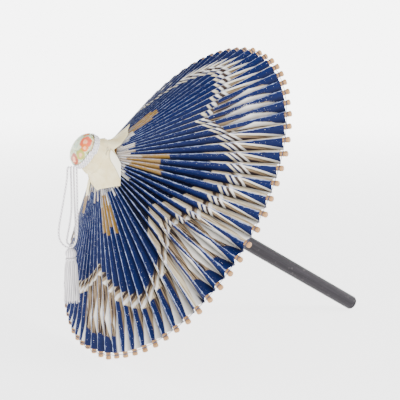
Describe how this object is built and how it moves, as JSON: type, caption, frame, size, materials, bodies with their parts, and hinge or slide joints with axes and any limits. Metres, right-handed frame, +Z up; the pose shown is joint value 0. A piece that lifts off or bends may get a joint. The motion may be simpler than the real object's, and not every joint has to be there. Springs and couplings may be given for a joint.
{
  "type": "oil paper umbrella",
  "caption": "Miniature open oil paper umbrella with pleated printed canopy on bamboo ribs, sliding runner, dark shaft, paper cap, domed crown and a hanging cord tassel.",
  "frame": {"origin": "centre of the box round everything but the tassel, on the ground under the umbrella", "axes": "+Z up; +X level, from the umbrella's head to the end of its handle as seen from above; +Y across the rim"},
  "size_m": [0.2068, 0.1994, 0.1725],
  "materials": {
    "bamboo": "satin",
    "turned_wood": "satin",
    "charcoal_lacquer": "satin",
    "brass_leaf": "satin",
    "printed_oil_paper": "satin",
    "ivory_paper": "matte",
    "blossom_paper": "satin",
    "white_silk": "satin",
    "navy_thread": "matte"
  },
  "bodies": {
    "frame": {"shaft": "charcoal_lacquer", "upper_hub": "turned_wood", "hub_thread": "navy_thread", "head_block": "turned_wood", "crown_cover": "blossom_paper", "neck_cord": "white_silk", "cap_paper": "ivory_paper", "canopy_sheet_1": "printed_oil_paper", "canopy_sheet_2": "printed_oil_paper", "canopy_sheet_3": "printed_oil_paper", "canopy_sheet_4": "printed_oil_paper", "canopy_sheet_5": "printed_oil_paper", "canopy_sheet_6": "printed_oil_paper", "rim_thread": "navy_thread", "runner_catch": "brass_leaf"},
    "rib_01": {"rib_01": "bamboo"},
    "rib_02": {"rib_02": "bamboo"},
    "rib_03": {"rib_03": "bamboo"},
    "rib_04": {"rib_04": "bamboo"},
    "rib_05": {"rib_05": "bamboo"},
    "rib_06": {"rib_06": "bamboo"},
    "rib_07": {"rib_07": "bamboo"},
    "rib_08": {"rib_08": "bamboo"},
    "rib_09": {"rib_09": "bamboo"},
    "rib_10": {"rib_10": "bamboo"},
    "rib_11": {"rib_11": "bamboo"},
    "rib_12": {"rib_12": "bamboo"},
    "rib_13": {"rib_13": "bamboo"},
    "rib_14": {"rib_14": "bamboo"},
    "rib_15": {"rib_15": "bamboo"},
    "rib_16": {"rib_16": "bamboo"},
    "rib_17": {"rib_17": "bamboo"},
    "rib_18": {"rib_18": "bamboo"},
    "rib_19": {"rib_19": "bamboo"},
    "rib_20": {"rib_20": "bamboo"},
    "rib_21": {"rib_21": "bamboo"},
    "rib_22": {"rib_22": "bamboo"},
    "rib_23": {"rib_23": "bamboo"},
    "rib_24": {"rib_24": "bamboo"},
    "strut_01": {"strut_01": "bamboo"},
    "strut_02": {"strut_02": "bamboo"},
    "strut_03": {"strut_03": "bamboo"},
    "strut_04": {"strut_04": "bamboo"},
    "strut_05": {"strut_05": "bamboo"},
    "strut_06": {"strut_06": "bamboo"},
    "strut_07": {"strut_07": "bamboo"},
    "strut_08": {"strut_08": "bamboo"},
    "strut_09": {"strut_09": "bamboo"},
    "strut_10": {"strut_10": "bamboo"},
    "strut_11": {"strut_11": "bamboo"},
    "strut_12": {"strut_12": "bamboo"},
    "runner": {"runner": "turned_wood", "runner_thread": "navy_thread"},
    "tassel": {"tassel_loop_a": "white_silk", "tassel_loop_b": "white_silk", "tassel_head": "white_silk", "tassel_binding": "white_silk", "tassel_skirt": "white_silk"}
  },
  "joints": [
    {"name": "fold", "type": "hinge", "parent": "frame", "child": "rib_01", "pos_m": [-0.08375, -0.00098, 0.10288], "axis": [0.0664, -0.9914, 0.1124], "range_deg": [0, 46], "deforming": ["canopy_sheet_1", "canopy_sheet_2", "canopy_sheet_3", "canopy_sheet_4", "canopy_sheet_5", "canopy_sheet_6", "rim_thread", "cap_paper", "runner_catch"]},
    {"name": "rib_02_fold", "type": "hinge", "parent": "frame", "child": "rib_02", "pos_m": [-0.08349, -0.00287, 0.10332], "axis": [0.1946, -0.9239, 0.3295], "range_deg": [0, 46]},
    {"name": "rib_03_fold", "type": "hinge", "parent": "frame", "child": "rib_03", "pos_m": [-0.083, -0.00457, 0.10416], "axis": [0.3096, -0.7934, 0.5241], "range_deg": [0, 46]},
    {"name": "rib_04_fold", "type": "hinge", "parent": "frame", "child": "rib_04", "pos_m": [-0.08229, -0.00595, 0.10536], "axis": [0.4035, -0.6088, 0.6831], "range_deg": [0, 46]},
    {"name": "rib_05_fold", "type": "hinge", "parent": "frame", "child": "rib_05", "pos_m": [-0.08143, -0.00693, 0.10682], "axis": [0.4699, -0.3827, 0.7955], "range_deg": [0, 46]},
    {"name": "rib_06_fold", "type": "hinge", "parent": "frame", "child": "rib_06", "pos_m": [-0.08047, -0.00744, 0.10844], "axis": [0.5043, -0.1305, 0.8536], "range_deg": [0, 46]},
    {"name": "rib_07_fold", "type": "hinge", "parent": "frame", "child": "rib_07", "pos_m": [-0.07947, -0.00744, 0.11013], "axis": [0.5043, 0.1305, 0.8536], "range_deg": [0, 46]},
    {"name": "rib_08_fold", "type": "hinge", "parent": "frame", "child": "rib_08", "pos_m": [-0.07851, -0.00693, 0.11176], "axis": [0.4699, 0.3827, 0.7955], "range_deg": [0, 46]},
    {"name": "rib_09_fold", "type": "hinge", "parent": "frame", "child": "rib_09", "pos_m": [-0.07765, -0.00595, 0.11322], "axis": [0.4035, 0.6088, 0.6831], "range_deg": [0, 46]},
    {"name": "rib_10_fold", "type": "hinge", "parent": "frame", "child": "rib_10", "pos_m": [-0.07694, -0.00457, 0.11441], "axis": [0.3096, 0.7934, 0.5241], "range_deg": [0, 46]},
    {"name": "rib_11_fold", "type": "hinge", "parent": "frame", "child": "rib_11", "pos_m": [-0.07645, -0.00287, 0.11525], "axis": [0.1946, 0.9239, 0.3295], "range_deg": [0, 46]},
    {"name": "rib_12_fold", "type": "hinge", "parent": "frame", "child": "rib_12", "pos_m": [-0.07619, -0.00098, 0.11569], "axis": [0.0664, 0.9914, 0.1124], "range_deg": [0, 46]},
    {"name": "rib_13_fold", "type": "hinge", "parent": "frame", "child": "rib_13", "pos_m": [-0.07619, 0.00098, 0.11569], "axis": [-0.0664, 0.9914, -0.1124], "range_deg": [0, 46]},
    {"name": "rib_14_fold", "type": "hinge", "parent": "frame", "child": "rib_14", "pos_m": [-0.07645, 0.00287, 0.11525], "axis": [-0.1946, 0.9239, -0.3295], "range_deg": [0, 46]},
    {"name": "rib_15_fold", "type": "hinge", "parent": "frame", "child": "rib_15", "pos_m": [-0.07694, 0.00457, 0.11441], "axis": [-0.3096, 0.7934, -0.5241], "range_deg": [0, 46]},
    {"name": "rib_16_fold", "type": "hinge", "parent": "frame", "child": "rib_16", "pos_m": [-0.07765, 0.00595, 0.11322], "axis": [-0.4035, 0.6088, -0.6831], "range_deg": [0, 46]},
    {"name": "rib_17_fold", "type": "hinge", "parent": "frame", "child": "rib_17", "pos_m": [-0.07851, 0.00693, 0.11176], "axis": [-0.4699, 0.3827, -0.7955], "range_deg": [0, 46]},
    {"name": "rib_18_fold", "type": "hinge", "parent": "frame", "child": "rib_18", "pos_m": [-0.07947, 0.00744, 0.11013], "axis": [-0.5043, 0.1305, -0.8536], "range_deg": [0, 46]},
    {"name": "rib_19_fold", "type": "hinge", "parent": "frame", "child": "rib_19", "pos_m": [-0.08047, 0.00744, 0.10844], "axis": [-0.5043, -0.1305, -0.8536], "range_deg": [0, 46]},
    {"name": "rib_20_fold", "type": "hinge", "parent": "frame", "child": "rib_20", "pos_m": [-0.08143, 0.00693, 0.10682], "axis": [-0.4699, -0.3827, -0.7955], "range_deg": [0, 46]},
    {"name": "rib_21_fold", "type": "hinge", "parent": "frame", "child": "rib_21", "pos_m": [-0.08229, 0.00595, 0.10536], "axis": [-0.4035, -0.6088, -0.6831], "range_deg": [0, 46]},
    {"name": "rib_22_fold", "type": "hinge", "parent": "frame", "child": "rib_22", "pos_m": [-0.083, 0.00457, 0.10416], "axis": [-0.3096, -0.7934, -0.5241], "range_deg": [0, 46]},
    {"name": "rib_23_fold", "type": "hinge", "parent": "frame", "child": "rib_23", "pos_m": [-0.08349, 0.00287, 0.10332], "axis": [-0.1946, -0.9239, -0.3295], "range_deg": [0, 46]},
    {"name": "rib_24_fold", "type": "hinge", "parent": "frame", "child": "rib_24", "pos_m": [-0.08375, 0.00098, 0.10288], "axis": [-0.0664, -0.9914, -0.1124], "range_deg": [0, 46]},
    {"name": "strut_01_pivot", "type": "hinge", "parent": "rib_01", "child": "strut_01", "pos_m": [-0.08329, -0.00592, 0.05905], "axis": [0.0664, -0.9914, 0.1124], "range_deg": [-92, 0]},
    {"name": "strut_02_pivot", "type": "hinge", "parent": "rib_03", "child": "strut_02", "pos_m": [-0.07873, -0.0276, 0.06678], "axis": [0.3096, -0.7934, 0.5241], "range_deg": [-92, 0]},
    {"name": "strut_03_pivot", "type": "hinge", "parent": "rib_05", "child": "strut_03", "pos_m": [-0.06926, -0.04188, 0.08281], "axis": [0.4699, -0.3827, 0.7955], "range_deg": [-92, 0]},
    {"name": "strut_04_pivot", "type": "hinge", "parent": "rib_07", "child": "strut_04", "pos_m": [-0.05742, -0.04495, 0.10284], "axis": [0.5043, 0.1305, 0.8536], "range_deg": [-92, 0]},
    {"name": "strut_05_pivot", "type": "hinge", "parent": "rib_09", "child": "strut_05", "pos_m": [-0.0464, -0.03597, 0.12151], "axis": [0.4035, 0.6088, 0.6831], "range_deg": [-92, 0]},
    {"name": "strut_06_pivot", "type": "hinge", "parent": "rib_11", "child": "strut_06", "pos_m": [-0.03913, -0.01735, 0.13381], "axis": [0.1946, 0.9239, 0.3295], "range_deg": [-92, 0]},
    {"name": "strut_07_pivot", "type": "hinge", "parent": "rib_13", "child": "strut_07", "pos_m": [-0.03757, 0.00592, 0.13644], "axis": [-0.0664, 0.9914, -0.1124], "range_deg": [-92, 0]},
    {"name": "strut_08_pivot", "type": "hinge", "parent": "rib_15", "child": "strut_08", "pos_m": [-0.04214, 0.0276, 0.12871], "axis": [-0.3096, 0.7934, -0.5241], "range_deg": [-92, 0]},
    {"name": "strut_09_pivot", "type": "hinge", "parent": "rib_17", "child": "strut_09", "pos_m": [-0.05161, 0.04188, 0.11268], "axis": [-0.4699, 0.3827, -0.7955], "range_deg": [-92, 0]},
    {"name": "strut_10_pivot", "type": "hinge", "parent": "rib_19", "child": "strut_10", "pos_m": [-0.06344, 0.04495, 0.09265], "axis": [-0.5043, -0.1305, -0.8536], "range_deg": [-92, 0]},
    {"name": "strut_11_pivot", "type": "hinge", "parent": "rib_21", "child": "strut_11", "pos_m": [-0.07447, 0.03597, 0.07398], "axis": [-0.4035, -0.6088, -0.6831], "range_deg": [-92, 0]},
    {"name": "strut_12_pivot", "type": "hinge", "parent": "rib_23", "child": "strut_12", "pos_m": [-0.08174, 0.01735, 0.06168], "axis": [-0.1946, -0.9239, -0.3295], "range_deg": [-92, 0]},
    {"name": "runner_travel", "type": "hinge", "parent": "strut_01", "child": "runner", "pos_m": [-0.04468, -0.00098, 0.0798], "axis": [0.0664, -0.9914, 0.1124], "range_deg": [0, 46]},
    {"name": "tassel_swing", "type": "hinge", "parent": "frame", "child": "tassel", "pos_m": [-0.10075, 0.00243, 0.10555], "axis": [1, 0, 0], "range_deg": [-25, 25]}
  ],
  "couplings": [
    {"joint": "rib_02_fold", "follows": "fold", "ratio": 1},
    {"joint": "rib_03_fold", "follows": "fold", "ratio": 1},
    {"joint": "rib_04_fold", "follows": "fold", "ratio": 1},
    {"joint": "rib_05_fold", "follows": "fold", "ratio": 1},
    {"joint": "rib_06_fold", "follows": "fold", "ratio": 1},
    {"joint": "rib_07_fold", "follows": "fold", "ratio": 1},
    {"joint": "rib_08_fold", "follows": "fold", "ratio": 1},
    {"joint": "rib_09_fold", "follows": "fold", "ratio": 1},
    {"joint": "rib_10_fold", "follows": "fold", "ratio": 1},
    {"joint": "rib_11_fold", "follows": "fold", "ratio": 1},
    {"joint": "rib_12_fold", "follows": "fold", "ratio": 1},
    {"joint": "rib_13_fold", "follows": "fold", "ratio": 1},
    {"joint": "rib_14_fold", "follows": "fold", "ratio": 1},
    {"joint": "rib_15_fold", "follows": "fold", "ratio": 1},
    {"joint": "rib_16_fold", "follows": "fold", "ratio": 1},
    {"joint": "rib_17_fold", "follows": "fold", "ratio": 1},
    {"joint": "rib_18_fold", "follows": "fold", "ratio": 1},
    {"joint": "rib_19_fold", "follows": "fold", "ratio": 1},
    {"joint": "rib_20_fold", "follows": "fold", "ratio": 1},
    {"joint": "rib_21_fold", "follows": "fold", "ratio": 1},
    {"joint": "rib_22_fold", "follows": "fold", "ratio": 1},
    {"joint": "rib_23_fold", "follows": "fold", "ratio": 1},
    {"joint": "rib_24_fold", "follows": "fold", "ratio": 1},
    {"joint": "strut_01_pivot", "follows": "fold", "ratio": -2},
    {"joint": "strut_02_pivot", "follows": "fold", "ratio": -2},
    {"joint": "strut_03_pivot", "follows": "fold", "ratio": -2},
    {"joint": "strut_04_pivot", "follows": "fold", "ratio": -2},
    {"joint": "strut_05_pivot", "follows": "fold", "ratio": -2},
    {"joint": "strut_06_pivot", "follows": "fold", "ratio": -2},
    {"joint": "strut_07_pivot", "follows": "fold", "ratio": -2},
    {"joint": "strut_08_pivot", "follows": "fold", "ratio": -2},
    {"joint": "strut_09_pivot", "follows": "fold", "ratio": -2},
    {"joint": "strut_10_pivot", "follows": "fold", "ratio": -2},
    {"joint": "strut_11_pivot", "follows": "fold", "ratio": -2},
    {"joint": "strut_12_pivot", "follows": "fold", "ratio": -2},
    {"joint": "runner_travel", "follows": "fold", "ratio": 1}
  ]
}
